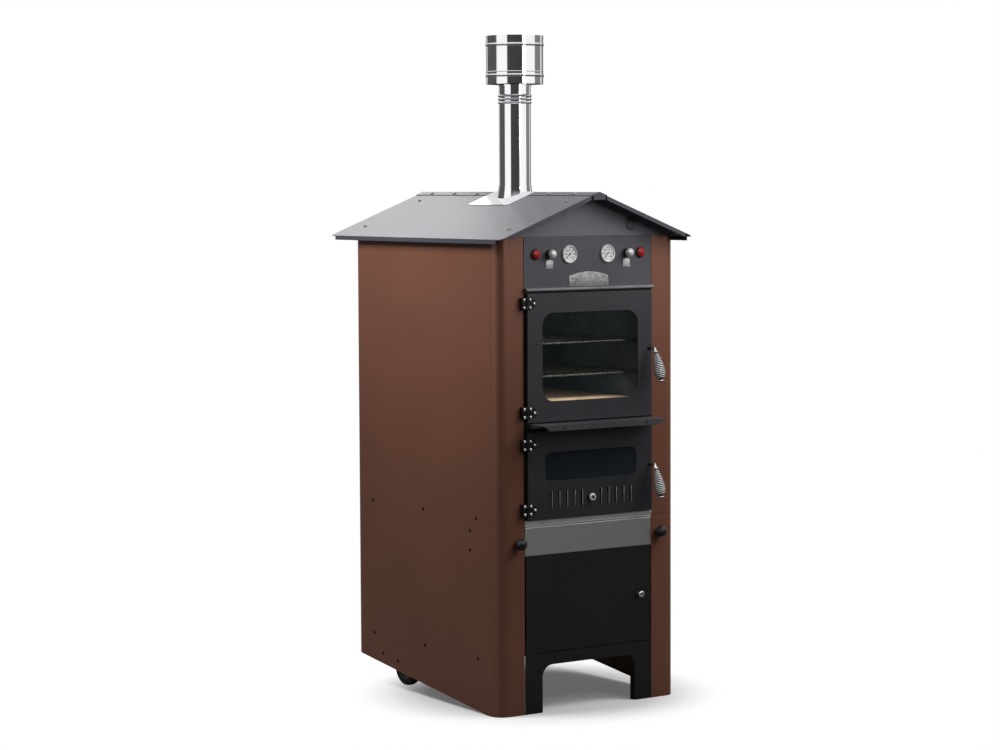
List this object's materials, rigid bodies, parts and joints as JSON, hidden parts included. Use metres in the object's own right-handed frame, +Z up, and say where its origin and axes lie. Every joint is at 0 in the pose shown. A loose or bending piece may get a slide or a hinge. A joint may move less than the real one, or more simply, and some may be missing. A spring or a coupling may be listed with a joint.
{
  "type": "outdoor wood-fired oven",
  "caption": "Outdoor wood-fired oven: a tall brown steel body with a roof, chimney, oven and firebox doors, drawer, wood compartment and wheels.",
  "frame": {"origin": "on the floor under the middle of the whole oven's outline", "axes": "+Z up, -Y towards the front with the doors, +X to the right seen from the front"},
  "size_m": [0.745, 1.0448, 2.138],
  "materials": {
    "brown_paint": "brown hammered powder coat, satin",
    "slate_paint": "dark slate grey powder coat, satin",
    "panel_paint": "charcoal powder coat, satin",
    "black_paint": "black heat-proof paint, satin",
    "mirror_stainless": "polished stainless steel",
    "satin_stainless": "brushed stainless steel",
    "galvanised": "galvanised sheet",
    "chrome": "bright chrome plate",
    "cast_iron": "rough dark cast iron",
    "fire_clay": "matt refractory slab",
    "door_glass": "clear ceramic glass, smoky behind",
    "dial": "white dial in a bright bezel",
    "black_plastic": "black phenolic",
    "red_lens": "red domed lens",
    "wheel_rubber": "grey rubber tread on a grey hub"
  },
  "bodies": {
    "oven_body": {"upper_right_casing": "brown_paint", "upper_left_casing": "brown_paint", "lower_right_casing": "brown_paint", "lower_left_casing": "brown_paint", "upper_back_panel": "galvanised", "lower_back_panel": "galvanised", "roof_right_panel": "slate_paint", "roof_left_panel": "slate_paint", "front_gable": "slate_paint", "rear_gable": "slate_paint", "front_ridge_cap": "slate_paint", "rear_ridge_cap": "slate_paint", "flue_flashing": "mirror_stainless", "flue_pipe": "mirror_stainless", "flue_cowl": "mirror_stainless", "control_panel": "panel_paint", "left_gauge": "dial", "right_gauge": "dial", "left_pilot_light": "red_lens", "right_pilot_light": "red_lens", "front_frame": "black_paint", "door_shelf": "panel_paint", "baking_chamber": "satin_stainless", "baking_stone": "fire_clay", "lower_rack": "satin_stainless", "upper_rack": "satin_stainless", "firebox": "cast_iron", "fire_grate": "cast_iron", "ash_pan": "galvanised", "smoke_jacket": "galvanised", "cart_top_plate": "galvanised", "seam_strip": "satin_stainless", "drawer_deck": "galvanised", "wood_compartment_floor": "galvanised", "base_front_panel": "black_paint", "right_wheel_fork": "galvanised", "left_wheel_fork": "galvanised"},
    "oven_door_body": {"oven_door": "black_paint", "oven_door_glass": "door_glass", "oven_upper_hinge_leaf": "chrome", "oven_lower_hinge_leaf": "chrome"},
    "oven_handle_body": {"oven_handle": "chrome", "oven_handle_coil": "chrome"},
    "firebox_door_body": {"firebox_door": "black_paint", "firebox_door_glass": "door_glass", "firebox_upper_hinge_leaf": "chrome", "firebox_lower_hinge_leaf": "chrome"},
    "firebox_handle_body": {"firebox_handle": "chrome", "firebox_handle_coil": "chrome"},
    "air_shutter_body": {"air_shutter": "satin_stainless"},
    "left_knob_body": {"left_knob": "black_plastic"},
    "right_knob_body": {"right_knob": "black_plastic"},
    "left_needle_body": {"left_gauge_needle": "black_plastic"},
    "right_needle_body": {"right_gauge_needle": "black_plastic"},
    "drawer_body": {"drawer": "satin_stainless"},
    "wood_door_body": {"wood_door": "black_paint"},
    "left_pull_bar_body": {"left_pull_bar": "black_plastic"},
    "right_pull_bar_body": {"right_pull_bar": "black_plastic"},
    "left_wheel_body": {"left_wheel": "wheel_rubber"},
    "right_wheel_body": {"right_wheel": "wheel_rubber"}
  },
  "joints": [
    {"name": "oven_door_hinge", "type": "hinge", "parent": "oven_body", "child": "oven_door_body", "pos_m": [-0.247, -0.4474, 1.119], "axis": [0, 0, -1], "range_deg": [0, 110]},
    {"name": "oven_handle_turn", "type": "hinge", "parent": "oven_door_body", "child": "oven_handle_body", "pos_m": [0.234, -0.4434, 1.136], "axis": [0, -1, 0], "range_deg": [0, 90]},
    {"name": "firebox_door_hinge", "type": "hinge", "parent": "oven_body", "child": "firebox_door_body", "pos_m": [-0.247, -0.4474, 0.747], "axis": [0, 0, -1], "range_deg": [0, 110]},
    {"name": "firebox_handle_turn", "type": "hinge", "parent": "firebox_door_body", "child": "firebox_handle_body", "pos_m": [0.234, -0.4434, 0.764], "axis": [0, -1, 0], "range_deg": [0, 90]},
    {"name": "air_shutter_slide", "type": "slide", "parent": "firebox_door_body", "child": "air_shutter_body", "axis": [1, 0, 0], "range_m": [-0.013, 0.013]},
    {"name": "left_knob_turn", "type": "hinge", "parent": "oven_body", "child": "left_knob_body", "pos_m": [-0.1506, -0.4314, 1.441], "axis": [0, 1, 0], "range_deg": [0, 90]},
    {"name": "left_needle_turn", "type": "hinge", "parent": "oven_body", "child": "left_needle_body", "pos_m": [-0.07431, -0.4344, 1.439], "axis": [0, 1, 0], "range_deg": [0, 270], "stiffness_Nm_per_rad": 0.001},
    {"name": "right_knob_turn", "type": "hinge", "parent": "oven_body", "child": "right_knob_body", "pos_m": [0.1506, -0.4314, 1.441], "axis": [0, 1, 0], "range_deg": [0, 90]},
    {"name": "right_needle_turn", "type": "hinge", "parent": "oven_body", "child": "right_needle_body", "pos_m": [0.07431, -0.4344, 1.439], "axis": [0, 1, 0], "range_deg": [0, 270], "stiffness_Nm_per_rad": 0.001},
    {"name": "drawer_slide", "type": "slide", "parent": "oven_body", "child": "drawer_body", "axis": [0, -1, 0], "range_m": [0, 0.45]},
    {"name": "wood_door_hinge", "type": "hinge", "parent": "oven_body", "child": "wood_door_body", "pos_m": [-0.24, -0.4254, 0.344], "axis": [0, 0, -1], "range_deg": [0, 110]},
    {"name": "left_pull_bar_slide", "type": "slide", "parent": "oven_body", "child": "left_pull_bar_body", "axis": [0, -1, 0], "range_m": [0, 0.28]},
    {"name": "left_wheel_spin", "type": "hinge", "parent": "oven_body", "child": "left_wheel_body", "pos_m": [-0.268, 0.2186, 0.0625], "axis": [1, 0, 0], "continuous": true},
    {"name": "right_pull_bar_slide", "type": "slide", "parent": "oven_body", "child": "right_pull_bar_body", "axis": [0, -1, 0], "range_m": [0, 0.28]},
    {"name": "right_wheel_spin", "type": "hinge", "parent": "oven_body", "child": "right_wheel_body", "pos_m": [0.268, 0.2186, 0.0625], "axis": [1, 0, 0], "continuous": true}
  ]
}
